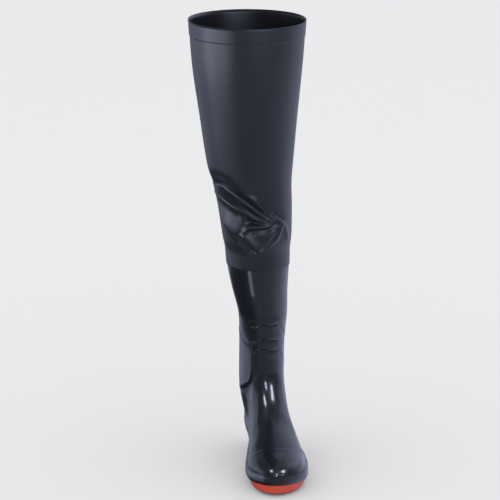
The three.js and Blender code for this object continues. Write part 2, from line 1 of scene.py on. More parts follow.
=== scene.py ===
import bpy
import numpy as np
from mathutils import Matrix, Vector


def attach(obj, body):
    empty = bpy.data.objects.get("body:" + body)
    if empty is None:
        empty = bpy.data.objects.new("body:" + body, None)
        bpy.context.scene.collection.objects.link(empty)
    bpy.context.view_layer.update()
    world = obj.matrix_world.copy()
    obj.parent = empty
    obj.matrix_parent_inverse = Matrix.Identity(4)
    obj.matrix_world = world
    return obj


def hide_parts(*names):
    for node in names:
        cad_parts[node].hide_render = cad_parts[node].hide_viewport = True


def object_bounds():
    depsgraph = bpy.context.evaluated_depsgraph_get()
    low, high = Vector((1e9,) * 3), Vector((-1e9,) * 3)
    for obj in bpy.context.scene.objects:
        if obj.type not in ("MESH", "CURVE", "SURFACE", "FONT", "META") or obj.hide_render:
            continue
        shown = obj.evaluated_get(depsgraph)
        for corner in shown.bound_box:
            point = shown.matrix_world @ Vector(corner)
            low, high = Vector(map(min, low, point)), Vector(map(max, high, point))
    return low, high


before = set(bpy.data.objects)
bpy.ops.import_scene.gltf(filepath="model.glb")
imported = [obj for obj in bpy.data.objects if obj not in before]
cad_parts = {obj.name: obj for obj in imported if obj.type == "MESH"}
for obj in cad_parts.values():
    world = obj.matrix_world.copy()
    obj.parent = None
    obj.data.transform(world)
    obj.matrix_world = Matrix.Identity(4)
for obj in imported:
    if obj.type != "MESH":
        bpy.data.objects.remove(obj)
cad_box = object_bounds()

# Outsole
# One moulding of orange-red PVC: heel, raised arch and a forefoot that lifts at the toe.
# The boot is moulded on its outline and its top edge (the bed), so both are worked out here.
MM = 0.001
FOOT_LENGTH = 298
HEEL_BACK = 38
BALL_WIDTH = 104
WAIST_WIDTH = 76
HEEL_WIDTH = 70
BED_HEEL = 27
BED_BALL = 12
BED_TOE = 22
TOE_LIFT = 5
SEAT_GAP = 0.3
SOLE_INSET = 0.5
SOLE_TAPER = 3.5
SOLE_ROUND = 6
TREAD_DEPTH = 4.5
TREAD_RIM = 4
TREAD_GROOVE = 5
TREAD_PITCH = 16
ARCH_HEIGHT = 11
HEEL_LENGTH = 78
ARCH_LENGTH = 44
TREAD_SWEEP = 0.18 * BALL_WIDTH
TOE_COLUMNS = 44
SIDE_COLUMNS = 40
HEEL_COLUMNS = 24
END_ROUND = 46
RAY_STEP = 4
RAY_END = 300
JUST_OUTSIDE = 0.01


class Table:
    """Columns of numbers as smooth functions of the first column, with no row overshot."""

    def __init__(self, names, *rows):
        first, *others = np.array(rows, float).T
        self.first = first
        for name, column in zip(names.split()[1:], others):
            setattr(self, name, self.smooth(column))

    def smooth(self, y):
        x = self.first
        slope = np.diff(y) / np.diff(x)
        product = slope[:-1] * slope[1:]
        level = np.where(product > 0, slope[:-1] + slope[1:], 1)
        tangent = np.concatenate([slope[:1], np.where(product > 0, 2 * product / level, 0), slope[-1:]])

        def value(t):
            t = np.clip(t, x[0], x[-1])
            i = np.clip(np.searchsorted(x, t, side="right") - 1, 0, len(x) - 2)
            h = x[i + 1] - x[i]
            u = (t - x[i]) / h
            rise = y[i] + (y[i + 1] - y[i]) * u * u * (3 - 2 * u)
            return rise + h * tangent[i] * u * (1 - u) ** 2 - h * tangent[i + 1] * u * u * (1 - u)

        return value


def mix(a, b, t):
    return a + (b - a) * t


def ease(t):
    """From 0 to 1 as t does, with a soft start and end."""
    t = np.clip(t, 0, 1)
    return t * t * (3 - 2 * t)


def along(y):
    """Share of the foot's length at a place y: 0 at the heel and 1 at the toe."""
    return (HEEL_BACK - y) / FOOT_LENGTH


def place_along(share):
    return HEEL_BACK - share * FOOT_LENGTH


# The sole's width to the inner and to the outer side, at shares of the foot's length
outline_table = Table(
    "at inner outer",
    (0.13, 0.43 * HEEL_WIDTH, 0.49 * HEEL_WIDTH),
    (0.26, 0.43 * HEEL_WIDTH, 0.54 * HEEL_WIDTH),
    (0.42, 0.46 * WAIST_WIDTH, 0.65 * WAIST_WIDTH),
    (0.56, 0.385 * BALL_WIDTH, 0.57 * BALL_WIDTH),
    (0.66, 0.42 * BALL_WIDTH, 0.58 * BALL_WIDTH),
    (0.73, 0.425 * BALL_WIDTH, 0.555 * BALL_WIDTH),
)
HEEL_ROUND_AT, TOE_ROUND_AT = outline_table.first[[0, -1]]
TOE_TIP_OFFSET = -0.01 * BALL_WIDTH
# Heights of the bed and of the side that meets the ground
bed_table = Table(
    "at bed ground",
    (0, BED_HEEL, 0),
    (0.25, 0.97 * BED_HEEL, 0),
    (0.45, mix(BED_BALL, BED_HEEL, 0.45), 0),
    (0.6, BED_BALL, 0),
    (0.72, mix(BED_BALL, BED_TOE, 0.1), 0),
    (0.86, mix(BED_BALL, BED_TOE, 0.5), 0.2 * TOE_LIFT),
    (1, BED_TOE, TOE_LIFT),
)
bed = bed_table.bed
ground = bed_table.ground


def edges(share):
    """Inner and outer edge of the sole, across from the foot's axis, at a share of the foot's length."""
    heel = np.sqrt(1 - (np.clip(HEEL_ROUND_AT - share, 0, HEEL_ROUND_AT) / HEEL_ROUND_AT) ** 2)
    toe = np.clip((share - TOE_ROUND_AT) / (1 - TOE_ROUND_AT), 0, 1)
    tip = TOE_TIP_OFFSET * (toe > 0)
    inner = mix(tip, -outline_table.inner(share) * heel, (1 - toe**2.1) ** (1 / 1.95))
    outer = mix(tip, outline_table.outer(share) * heel, (1 - toe**2) ** (1 / 1.95))
    return inner, outer


def outline(x, y):
    """Distance from the sole's outline, seen from above: minus inside it."""
    share = along(y)
    inner, outer = edges(np.clip(share, 0, 1))
    beyond = np.maximum(-share, share - 1)
    across = np.abs(x - (outer + inner) / 2) - (outer - inner) / 2
    return np.where(beyond >= 0, FOOT_LENGTH * beyond + JUST_OUTSIDE, across)


def rays(front, back, fine):
    """Start (y) and direction (x, y) of rays seen from above: toe first, outer side, heel, inner side."""
    length = back - front
    inset = np.minimum(0.33, END_ROUND / length) * length
    toe = np.linspace(0, np.pi / 2, int(fine * TOE_COLUMNS), endpoint=False)
    side = np.linspace(0, 1, int(fine * SIDE_COLUMNS), endpoint=False)
    heel = np.linspace(0, np.pi / 2, int(fine * HEEL_COLUMNS) + 1)
    one = np.ones_like(length)[:, None]
    start = np.concatenate(
        [
            (front + inset)[:, None] * np.ones_like(toe),
            (front + inset)[:, None] + (length - 2 * inset)[:, None] * side,
            (back - inset)[:, None] * np.ones_like(heel),
        ],
        1,
    )
    dx = one * np.concatenate([np.sin(toe), np.ones_like(side), np.cos(heel)])
    dy = one * np.concatenate([-np.cos(toe), np.zeros_like(side), np.sin(heel)])
    mirror = slice(-2, 0, -1)
    return (
        np.concatenate([start, start[:, mirror]], 1),
        np.concatenate([dx, -dx[:, mirror]], 1),
        np.concatenate([dy, dy[:, mirror]], 1),
    )


def ring_points(form, front, back, height, middle, fine=1):
    """Points on a form's wall, one row for each ring: height(y) is a ring's line in the side view."""
    start, dx, dy = rays(front, back, fine)
    x0 = middle(height(start))
    inside = np.zeros_like(start)
    outside = np.full_like(start, RAY_END)
    found = np.zeros(start.shape, bool)

    def at(r):
        y = start + dy * r
        return x0 + dx * r, y, height(y)

    for r in np.arange(RAY_STEP, RAY_END, RAY_STEP):
        out = form(*at(np.full_like(start, r))) >= 0
        outside = np.where(out & ~found, r, outside)
        inside = np.where(out & ~found, r - RAY_STEP, inside)
        found |= out
        if found.all():
            break
    for _ in range(24):
        r = (inside + outside) / 2
        within = form(*at(r)) < 0
        inside = np.where(within, r, inside)
        outside = np.where(within, outside, r)
    return np.stack(at(inside), -1)


def sole_ring(inset, height_at):
    """A closed ring on the sole's outline, drawn in by an inset, at a height given along the foot."""
    front, back = np.array([place_along(1.0)]), np.array([float(HEEL_BACK)])
    ring = ring_points(lambda x, y, z: outline(x, y), front, back, np.zeros_like, np.zeros_like)[0]
    for _ in range(3):
        ring = (np.roll(ring, 1, 0) + 2 * ring + np.roll(ring, -1, 0)) / 4
    step = np.roll(ring, -1, 0) - np.roll(ring, 1, 0)
    out = np.stack([step[:, 1], -step[:, 0]], -1)
    out /= np.linalg.norm(out, axis=1, keepdims=True)
    ring[:, :2] += np.sign(np.sum(out * ring[:, :2])) * -inset * out
    ring[:, 2] = height_at(along(ring[:, 1]))
    return ring


def mesh_object(name, points, faces):
    """A smooth-shaded object from points in mm."""
    mesh = bpy.data.meshes.new(name)
    mesh.from_pydata((np.asarray(points) * MM).tolist(), [], [list(map(int, f)) for f in faces])
    mesh.validate()
    made = bpy.data.objects.new(name, mesh)
    bpy.context.scene.collection.objects.link(made)
    mesh.shade_smooth()
    return made


def strip_faces(rows, columns, closed=False):
    """Quads between rows of points that each go round in a ring."""
    i = np.arange(rows if closed else rows - 1)[:, None]
    j = np.arange(columns)[None, :]
    a = i * columns + j
    b = i * columns + (j + 1) % columns
    c = (i + 1) % rows * columns + (j + 1) % columns
    d = (i + 1) % rows * columns + j
    return np.stack([a, b, c, d], -1).reshape(-1, 4).tolist()


def plate(name, rings):
    """A closed body through rings, whose flat ends are strips from side to side."""
    columns = len(rings[0])
    faces = strip_faces(len(rings), columns)
    top = (len(rings) - 1) * columns
    for j in range(columns // 2):
        ends = [j, j + 1, columns - j - 1, (columns - j) % columns]
        corners = list(dict.fromkeys(ends))
        faces.append(corners[::-1])
        faces.append([top + k for k in corners])
    return mesh_object(name, np.concatenate(rings), faces)


def shape_by(piece, tool, operation):
    """Cuts a tool's form out of a piece, or keeps what lies inside it, and deletes the tool."""
    modifier = piece.modifiers.new("shape", "BOOLEAN")
    modifier.object = tool
    modifier.operation = operation
    modifier.solver = "EXACT"
    bpy.context.view_layer.objects.active = piece
    bpy.ops.object.modifier_apply(modifier=modifier.name)
    bpy.data.objects.remove(tool)


def prism(name, first_end, last_end):
    """A straight body between two outlines that have the same number of corners."""
    count = len(first_end)
    ends = [list(range(count))[::-1], list(range(count, 2 * count))]
    return mesh_object(name, [*first_end, *last_end], strip_faces(2, count) + ends)


def upright(name, corners, low, high):
    """A prism over corners (x, y), between two heights."""
    return prism(name, [(x, y, low) for x, y in corners], [(x, y, high) for x, y in corners])


def rounded_side(steps=5):
    """Inset and height over the ground of the sole's rounded lower edge."""
    turn = np.linspace(0, np.pi / 2, steps)
    inset = SOLE_INSET + SOLE_TAPER + SOLE_ROUND * (1 - np.sin(turn))
    return zip(inset, SOLE_ROUND * (1 - np.cos(turn)))


def side_height(t):
    """Height along the foot of a ring on the sole's side: t is 0 over the rounded edge and 1 at the bed."""
    return lambda share: mix(ground(share) + SOLE_ROUND, bed(share) - SEAT_GAP, t)


lower = [sole_ring(inset, lambda s, rise=rise: ground(s) + rise) for inset, rise in rounded_side()]
side = [sole_ring(SOLE_INSET + SOLE_TAPER * (1 - t), side_height(t)) for t in (0.25, 0.5, 0.75, 0.94, 1)]
outsole = plate("outsole_moulding", [*lower, *side])

breast = HEEL_BACK - HEEL_LENGTH
quarters = (0.25, 0.5, 0.75, 1)
arch = [
    (breast, -1),
    (breast, 0.75 * ARCH_HEIGHT),
    *((breast - 0.3 * ARCH_LENGTH * t, ARCH_HEIGHT * mix(0.75, 1, 1 - (1 - t) ** 2)) for t in quarters),
    *((breast - mix(0.3, 1, t) * ARCH_LENGTH, ARCH_HEIGHT * (1 - t * t) - 0.3 * t) for t in quarters),
    (breast - ARCH_LENGTH, -1),
]
arch_ends = [[(x, y, z) for y, z in arch] for x in (-BALL_WIDTH, BALL_WIDTH)]
shape_by(outsole, prism("arch_cut", *arch_ends), "DIFFERENCE")

# Tread pockets, as grooves in a chevron that a rim closes at both sides
heel_grooves = [step * TREAD_PITCH - TREAD_GROOVE / 2 for step in (-1.5, 0.5)]
sole_grooves = np.arange(breast - ARCH_LENGTH - TREAD_PITCH, place_along(0.93), -TREAD_PITCH)
inner_outline = sole_ring(SOLE_INSET + SOLE_TAPER + SOLE_ROUND + TREAD_RIM, np.zeros_like)[:, :2]
for y in [*heel_grooves, *sole_grooves]:
    chevron = [(-BALL_WIDTH, y + TREAD_SWEEP), (0, y), (BALL_WIDTH, y + TREAD_SWEEP)]
    chevron += [(px, py + TREAD_GROOVE) for px, py in reversed(chevron)]
    pocket = upright("pocket", chevron, -1, float(ground(along(y))) + TREAD_DEPTH)
    shape_by(pocket, upright("fence", inner_outline, -2, BED_HEEL), "INTERSECT")
    shape_by(outsole, pocket, "DIFFERENCE")


class Shade:
    """A shader socket: sums on it add Math nodes, and node() adds any other node to the same tree."""

    def __init__(self, tree, socket=None):
        self.tree = tree
        self.socket = socket

    def node(self, kind, settings=None, inputs=None, output=0):
        made = self.tree.nodes.new("ShaderNode" + kind)
        for name, value in (settings or {}).items():
            if name == "stops":
                while len(made.color_ramp.elements) < len(value):
                    made.color_ramp.elements.new(1)
                for stop, (place, level) in zip(made.color_ramp.elements, value):
                    stop.position = place
                    stop.color = level if isinstance(level, tuple) else (level, level, level, 1)
            else:
                setattr(made, name, value)
        for name, value in (inputs or {}).items():
            if isinstance(value, Shade):
                self.tree.links.new(value.socket, made.inputs[name])
            else:
                made.inputs[name].default_value = value
        return Shade(self.tree, made.outputs[output])

    def out(self, output):
        return Shade(self.tree, self.socket.node.outputs[output])

    def maths(self, operation, *values):
        return self.node("Math", {"operation": operation}, dict(enumerate(values)))

    def ease(self, low, high):
        settings = {"interpolation_type": "SMOOTHSTEP"}
        return self.node("MapRange", settings, {"Value": self, "From Min": low, "From Max": high})

    def __add__(self, other):
        return self.maths("ADD", self, other)

    def __sub__(self, other):
        return self.maths("SUBTRACT", self, other)

    def __rsub__(self, other):
        return self.maths("SUBTRACT", other, self)

    def __mul__(self, other):
        return self.maths("MULTIPLY", self, other)

    __radd__ = __add__
    __rmul__ = __mul__


def material(name, **constants):
    """A new material with these constant values. Returns it, a Shade to build with, and its shader."""
    made = bpy.data.materials.new(name)
    made.use_nodes = True
    shader = made.node_tree.nodes["Principled BSDF"]
    for key, value in constants.items():
        shader.inputs[key.replace("_", " ").title().replace("Ior", "IOR")].default_value = value
    return made, Shade(made.node_tree), shader


def feed(shade, shader, **values):
    """Leads values that vary into the shader's sockets."""
    for key, value in values.items():
        shade.tree.links.new(value.socket, shader.inputs[key.replace("_", " ").title()])


def noise(shade, scale, detail, rough=0.5):
    where = shade.node("TexCoord", output="Object")
    inputs = {"Vector": where, "Scale": scale, "Detail": detail, "Roughness": rough}
    return shade.node("TexNoise", {}, inputs)


def colours(shade, factor, *stops):
    """Colours along a factor: stops are a place on it and a colour."""
    return shade.node("ValToRGB", {"stops": [(place, (*rgb, 1)) for place, rgb in stops]}, {"Fac": factor})


def bump(shade, height, strength, distance, under=None):
    """Small relief in the shading: distance is its depth in metres, and under is a coarser bump below it."""
    inputs = {"Height": height, "Strength": strength, "Distance": distance}
    if under:
        inputs["Normal"] = under
    return shade.node("Bump", {}, inputs)


def two_colours(shade, factor, first, second):
    return shade.node("Mix", {"data_type": "RGBA"}, {0: factor, 6: first, 7: second}, output=2)


def dress(piece, made):
    """Gives a piece its material and its slot, and lets it ride on the part's one body."""
    piece.data.materials.clear()
    piece.data.materials.append(made)
    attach(piece, "root")


orange, shade, shader = material("orange_red_pvc", specular_ior_level=0.45)
cloud = noise(shade, 26.0, 4.0)
grain = noise(shade, 900.0, 2.0)
moulded = colours(shade, cloud, (0.3, (0.58, 0.056, 0.024)), (0.7, (0.68, 0.073, 0.030)))
# The floor's rays meet a duller sole, so that it throws no red light on the floor round it
from_floor = shade.node("LightPath", output="Is Diffuse Ray")
feed(
    shade,
    shader,
    base_color=two_colours(shade, from_floor, moulded, (0.32, 0.27, 0.26, 1)),
    roughness=0.36 + 0.12 * cloud,
    normal=bump(shade, grain, 0.12, 0.0002),
)
dress(outsole, orange)
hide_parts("outsole")

# Boot
# The foot and the shaft are one black PVC moulding with a glossy skin, 2.6 mm thick and open at the collar.
# A side band, a toe cap line, flex ribs over the shin and an ankle guard are moulded proud of its wall.
BOOT_WALL = 2.6
INSTEP_HEIGHT = 128
TOE_CAP_HEIGHT = 62
COLLAR_HEIGHT = 384
COLLAR_WIDTH = 112
COLLAR_DEPTH = 130
ANKLE_WIDTH = 79
ANKLE_DEPTH = 103
INSTEP_FILLET = 34
BAND_HEIGHT = 20
BAND_STEP = 3.2
RIB_STEP = 1.0
RIB_CREST = 4
GUARD_STEP = 1.0
GUARD_ROUND = 2.5
TOE_CAP_STEP = 1
TOE_CAP_AT = 0.755
TOE_WALL_AT = 0.84
WELD_LAP = 28
SHAFT_SQUARE = 2.1


def calf_width(share):
    return mix(ANKLE_WIDTH, COLLAR_WIDTH, share)


def calf_depth(share):
    return mix(ANKLE_DEPTH, COLLAR_DEPTH, share)


# The foot's upper side: height of its ridge, how far that lies to the inner side, and how square it is
ridge_table = Table(
    "at top side square flat",
    (0.3, 1.12 * INSTEP_HEIGHT, 0.1, 2.1, 2.4),
    (0.38, INSTEP_HEIGHT, 0.12, 2.0, 2.4),
    (0.46, 0.84 * INSTEP_HEIGHT, 0.15, 1.9, 2.4),
    (0.54, 0.69 * INSTEP_HEIGHT, 0.17, 1.9, 2.3),
    (0.62, 1.27 * TOE_CAP_HEIGHT, 0.18, 1.95, 2.3),
    (0.7, 1.09 * TOE_CAP_HEIGHT, 0.16, 2.1, 2.6),
    (0.755, 0.995 * TOE_CAP_HEIGHT, 0.13, 2.4, 3.0),
    (0.8, 0.965 * TOE_CAP_HEIGHT, 0.1, 2.6, 3.3),
    (0.88, 0.94 * TOE_CAP_HEIGHT, 0.06, 2.8, 3.5),
    (1, 0.88 * TOE_CAP_HEIGHT, 0, 2.8, 3.5),
)
# The shaft's middle (x, y), width and depth at each height
shaft_table = Table(
    "height x y width depth",
    (0, 2, -12, 0.93 * HEEL_WIDTH, 0.97 * ANKLE_DEPTH),
    (0.17 * COLLAR_HEIGHT, 1, -14, 0.93 * HEEL_WIDTH, ANKLE_DEPTH),
    (0.25 * COLLAR_HEIGHT, -4, -16, 0.94 * ANKLE_WIDTH, ANKLE_DEPTH),
    (0.3 * COLLAR_HEIGHT, -6, -17, 0.98 * ANKLE_WIDTH, ANKLE_DEPTH),
    (0.38 * COLLAR_HEIGHT, -6.5, -18, ANKLE_WIDTH, ANKLE_DEPTH),
    (0.53 * COLLAR_HEIGHT, -6, -18, ANKLE_WIDTH, 1.01 * ANKLE_DEPTH),
    (0.67 * COLLAR_HEIGHT, -5, -20, calf_width(0.2), calf_depth(0.3)),
    (0.82 * COLLAR_HEIGHT, -11, -23, calf_width(0.63), calf_depth(0.72)),
    (0.93 * COLLAR_HEIGHT, -14, -25, 0.98 * COLLAR_WIDTH, 0.97 * COLLAR_DEPTH),
    (COLLAR_HEIGHT, -15, -26, COLLAR_WIDTH, COLLAR_DEPTH),
)
# Rings round the foot: where each meets the toe or shin, its height there and at the heel, and how far it
# follows the bed
ring_table = Table(
    "ring front front_height back_height follow",
    (0, 1, BED_TOE, BED_HEEL, 1),
    (1, 1, BED_TOE + BAND_HEIGHT, BED_HEEL + BAND_HEIGHT, 1),
    (2, 0.975, 0.85 * TOE_CAP_HEIGHT, BED_HEEL + 1.15 * BAND_HEIGHT, 1),
    (3, 0.92, 0.93 * TOE_CAP_HEIGHT, BED_HEEL + 1.3 * BAND_HEIGHT, 0.9),
    (4, 0.85, 0.965 * TOE_CAP_HEIGHT, BED_HEEL + 1.45 * BAND_HEIGHT, 0.8),
    (5, 0.77, TOE_CAP_HEIGHT, BED_HEEL + 1.6 * BAND_HEIGHT, 0.65),
    (6, 0.69, 1.09 * TOE_CAP_HEIGHT, 0.53 * INSTEP_HEIGHT, 0.5),
    (7, 0.61, 1.27 * TOE_CAP_HEIGHT, 0.58 * INSTEP_HEIGHT, 0.3),
    (8, 0.53, 0.73 * INSTEP_HEIGHT, 0.64 * INSTEP_HEIGHT, 0.15),
    (9, 0.46, 0.87 * INSTEP_HEIGHT, 0.72 * INSTEP_HEIGHT, 0),
    (10, 0.4, 1.02 * INSTEP_HEIGHT, 0.83 * INSTEP_HEIGHT, 0),
    (11, 0.37, 1.2 * INSTEP_HEIGHT, 1.0 * INSTEP_HEIGHT, 0),
    (12, 0.36, 1.4 * INSTEP_HEIGHT, 1.27 * INSTEP_HEIGHT, 0),
    (13, 0.36, 0.5 * COLLAR_HEIGHT, 0.5 * COLLAR_HEIGHT, 0),
    (14, 0.37, 0.65 * COLLAR_HEIGHT, 0.65 * COLLAR_HEIGHT, 0),
    (15, 0.42, COLLAR_HEIGHT, COLLAR_HEIGHT, 0),
)


def foot(x, y, z):
    """Distance from the foot's wall, without the shaft: minus inside it."""
    share = along(y)
    inner, outer = edges(np.clip(share, HEEL_ROUND_AT, 1))
    ridge = mix((outer + inner) / 2, inner, ridge_table.side(share))
    toe = np.clip((share - TOE_WALL_AT) / (1 - TOE_WALL_AT), 0, 1)
    top = bed(share) + (ridge_table.top(share) - bed(share)) * (1 - toe**4) ** (1 / 2.8)
    span = np.maximum(JUST_OUTSIDE, np.where(x < ridge, ridge - inner, outer - ridge))
    across = np.abs(x - ridge) / span
    rise = np.maximum(0, z - bed(share)) / np.maximum(JUST_OUTSIDE, top - bed(share))
    radius = (across ** ridge_table.flat(share) + rise ** ridge_table.square(share)) ** (1 / 2.2)
    wall = np.hypot(x - ridge, z - bed(share)) * (1 - 1 / np.maximum(JUST_OUTSIDE, radius))
    return np.where(share >= 1, FOOT_LENGTH * (share - 1) + JUST_OUTSIDE, np.maximum(wall, y))


def tube(table):
    """The form of an upright tube, a little squarer than an oval, from a table of its middle and size."""

    def form(x, y, z):
        across = np.abs(x - table.x(z))
        deep = np.abs(y - table.y(z))
        shares = (2 * across / table.width(z)) ** SHAFT_SQUARE + (2 * deep / table.depth(z)) ** SHAFT_SQUARE
        radius = shares ** (1 / SHAFT_SQUARE)
        return np.hypot(across, deep) * (1 - 1 / np.maximum(JUST_OUTSIDE, radius))

    return form


shaft = tube(shaft_table)


def boot_form(x, y, z):
    """Foot and shaft joined by a fillet at the instep, and led down to the sole's outline."""
    at_foot = foot(x, y, z)
    at_shaft = shaft(x, y, z)
    blend = np.clip(0.5 + (at_shaft - at_foot) / (2 * INSTEP_FILLET), 0, 1)
    joined = mix(at_shaft, at_foot, blend) - INSTEP_FILLET * blend * (1 - blend)
    low = ease((z - bed(along(y))) / (1.6 * BAND_HEIGHT))
    return mix(outline(x, y), joined, low)


def foot_rings(numbers):
    """Rings round the foot, by their numbers in the table."""
    front = place_along(ring_table.front(numbers))
    back = np.full_like(front, HEEL_BACK)

    def height(y):
        t = (HEEL_BACK - y) / (HEEL_BACK - front)[:, None]
        sole = bed(along(y)) - mix(BED_HEEL, BED_TOE, along(y))
        ends = ring_table.back_height(numbers)[:, None], ring_table.front_height(numbers)[:, None]
        return mix(*ends, t) + ring_table.follow(numbers)[:, None] * sole

    return ring_points(boot_form, front, back, height, shaft_table.x)


def level_rings(form, table, heights, fine=1):
    """Rings round a tube at these heights."""
    front = table.y(heights) - table.depth(heights) / 2
    back = table.y(heights) + table.depth(heights) / 2
    return ring_points(form, front, back, lambda y: heights[:, None] * np.ones_like(y), table.x, fine)


def smoothed(grid, rounds, keep):
    """Evens out a grid of rings, apart from its lowest rows."""
    for _ in range(rounds):
        turned = (np.roll(grid, 1, 1) + 2 * grid + np.roll(grid, -1, 1)) / 4
        even = turned.copy()
        even[1:-1] = (turned[:-2] + 2 * turned[1:-1] + turned[2:]) / 4
        even[:keep] = grid[:keep]
        grid = even
    return grid


def directions(grid):
    """The way out of a wall at each of its points, level along both of its edges."""
    up = np.empty_like(grid)
    up[1:-1] = grid[2:] - grid[:-2]
    up[0] = grid[1] - grid[0]
    up[-1] = grid[-1] - grid[-2]
    out = np.cross(np.roll(grid, -1, 1) - np.roll(grid, 1, 1), up)
    out[0, :, 2] = 0
    out[-1, :, 2] = 0
    return out / np.linalg.norm(out, axis=2, keepdims=True)


def bearing(p, table):
    """Degrees round a tube: 0 in front, plus towards the outer side."""
    return np.degrees(np.arctan2(p[..., 0] - table.x(p[..., 2]), table.y(p[..., 2]) - p[..., 1]))


def shin_arc(degrees):
    """Length round the ankle for a bearing."""
    return np.radians(degrees) * ANKLE_DEPTH / 2


def band_relief(p):
    """The side band, full round the forefoot, thinner at the heel and on the toe's front."""
    share = along(p[..., 1])
    h = (p[..., 2] - bed(share)) / BAND_HEIGHT
    forward = mix(0.12, 1, ease((share - 0.3) / 0.3)) * mix(1, 0.3, ease((share - 0.86) / 0.1))
    return BAND_STEP * forward * mix(0.5, 1, ease(h / 0.2)) * (1 - ease((h - 0.8) / 0.3))


def cap_relief(p):
    """The toe cap: a low step with a bead along its edge, which curves back on the outer side."""
    line = TOE_CAP_AT - 0.17 * np.clip((p[..., 0] - 0.18 * BALL_WIDTH) / (0.36 * BALL_WIDTH), 0, 1) ** 3
    ahead = along(p[..., 1]) - line
    over = p[..., 2] - bed(along(p[..., 1])) - BAND_HEIGHT
    step = ease((ahead + 0.004) / 0.008)
    bead = np.exp(-((ahead - 0.004) / 0.009) ** 2)
    return (0.6 * TOE_CAP_STEP * step + 0.8 * TOE_CAP_STEP * bead) * ease((over + 2) / 8)


def smooth_line(rows, steps=6):
    """A smooth line through rows of numbers, with some steps from each to the next."""
    rows = np.array(rows, float)
    padded = np.vstack([2 * rows[0] - rows[1], rows, 2 * rows[-1] - rows[-2]])
    t = np.linspace(0, 1, steps, endpoint=False)[:, None]
    parts = []
    for a, b, c, d in zip(padded, padded[1:], padded[2:], padded[3:]):
        parts.append(b + t / 2 * (c - a + t * (2 * a - 5 * b + 4 * c - d + t * (3 * (b - c) + d - a))))
    return np.vstack([*parts, rows[-1]])


def from_line(u, v, line):
    """Distance of places from a line, plus on the left of its run, and the line's own strength there."""
    best = np.full(u.shape, 1e9)
    side = np.ones_like(u)
    strength = np.zeros_like(u)
    for (u0, v0, s0), (u1, v1, s1) in zip(line, line[1:]):
        du, dv = u1 - u0, v1 - v0
        t = np.clip(((u - u0) * du + (v - v0) * dv) / (du * du + dv * dv), 0, 1)
        off = np.hypot(u - u0 - t * du, v - v0 - t * dv)
        nearer = off < best
        best = np.where(nearer, off, best)
        side = np.where(nearer, np.sign(du * (v - v0) - dv * (u - u0)), side)
        strength = np.where(nearer, mix(s0, s1, t), strength)
    return best * side, strength


# Grooves between the ribs, from the inner side over the shin to the outer side: bearing, height as a share
# of the collar's, and depth
rib_grooves = [
    [
        (-32, 0.647, 0), (-21, 0.653, 0.9), (8, 0.659, 1), (27, 0.657, 1),
        (42, 0.62, 0.7), (64, 0.583, 0.6), (84, 0.56, 0),
    ],
    [
        (-29, 0.58, 0), (-17, 0.583, 0.9), (7, 0.586, 1), (31, 0.578, 1),
        (45, 0.55, 0.4), (58, 0.53, 0),
    ],
    [
        (-26, 0.53, 0), (-13, 0.533, 0.9), (8, 0.534, 1), (29, 0.529, 1),
        (47, 0.49, 0.7), (60, 0.453, 0.6), (78, 0.42, 0),
    ],
]


def rib_relief(p):
    """Ribs that stand highest just above each groove and fall away slowly below it."""
    arc = shin_arc(bearing(p, shaft_table))
    total = np.zeros_like(arc)
    for rows in rib_grooves:
        line = smooth_line([(shin_arc(a), h * COLLAR_HEIGHT, s) for a, h, s in rows])
        off, strength = from_line(arc, p[..., 2], line)
        above = np.exp(-(((off - RIB_CREST) / (2 * RIB_CREST)) ** 2))
        below = 0.78 * np.exp(-(((off + 7) / 7) ** 2))
        groove = 0.6 * np.exp(-((off / np.where(off > 0, 1.8, 2.6)) ** 2))
        total = total + RIB_STEP * strength * (np.where(off > 0, above, below) - groove)
    return total


# The ankle guard's edge: front, top, back and lower side, as bearing and height as a share of the collar's
guard_edge = [
    (-23, 0.44), (-23, 0.5), (-29, 0.545),
    (-40, 0.568), (-60, 0.583), (-95, 0.6),
    (-128, 0.6), (-128, 0.34),
    (-95, 0.31), (-70, 0.325), (-48, 0.347), (-34, 0.366), (-27, 0.394),
]


def guard_relief(p):
    """A flat pad with a soft edge, a little higher along its rim."""
    u = shin_arc(bearing(p, shaft_table))
    v = p[..., 2]
    edge = [(shin_arc(a), h * COLLAR_HEIGHT, 1) for a, h in guard_edge]
    edge = smooth_line(edge + edge[:1], 4)
    off, _ = from_line(u, v, edge)
    inside = np.zeros(u.shape, bool)
    for (u0, v0, _), (u1, v1, _) in zip(edge, edge[1:]):
        crosses = (v0 > v) != (v1 > v)
        inside ^= crosses & (u < u0 + (v - v0) * (u1 - u0) / (v1 - v0 if v1 != v0 else 1))
    deep = np.where(inside, np.abs(off), -np.abs(off))
    rim = np.exp(-(((deep - 3) / GUARD_ROUND) ** 2))
    return GUARD_STEP * (ease((deep + GUARD_ROUND) / (2 * GUARD_ROUND)) + 0.3 * rim)


def closed_wall(name, outer, inner):
    """A wall between an outer and an inner grid of rings, closed along both edges."""
    rows = np.concatenate([outer, inner[::-1]])
    count, columns = rows.shape[:2]
    return mesh_object(name, rows.reshape(-1, 3), strip_faces(count, columns, closed=True))


def every_few(grid, step):
    """Numbers of every few rows of a grid and of its last one, for the inner side of a wall."""
    return np.unique(np.concatenate([np.arange(0, len(grid), step), [len(grid) - 1]]))


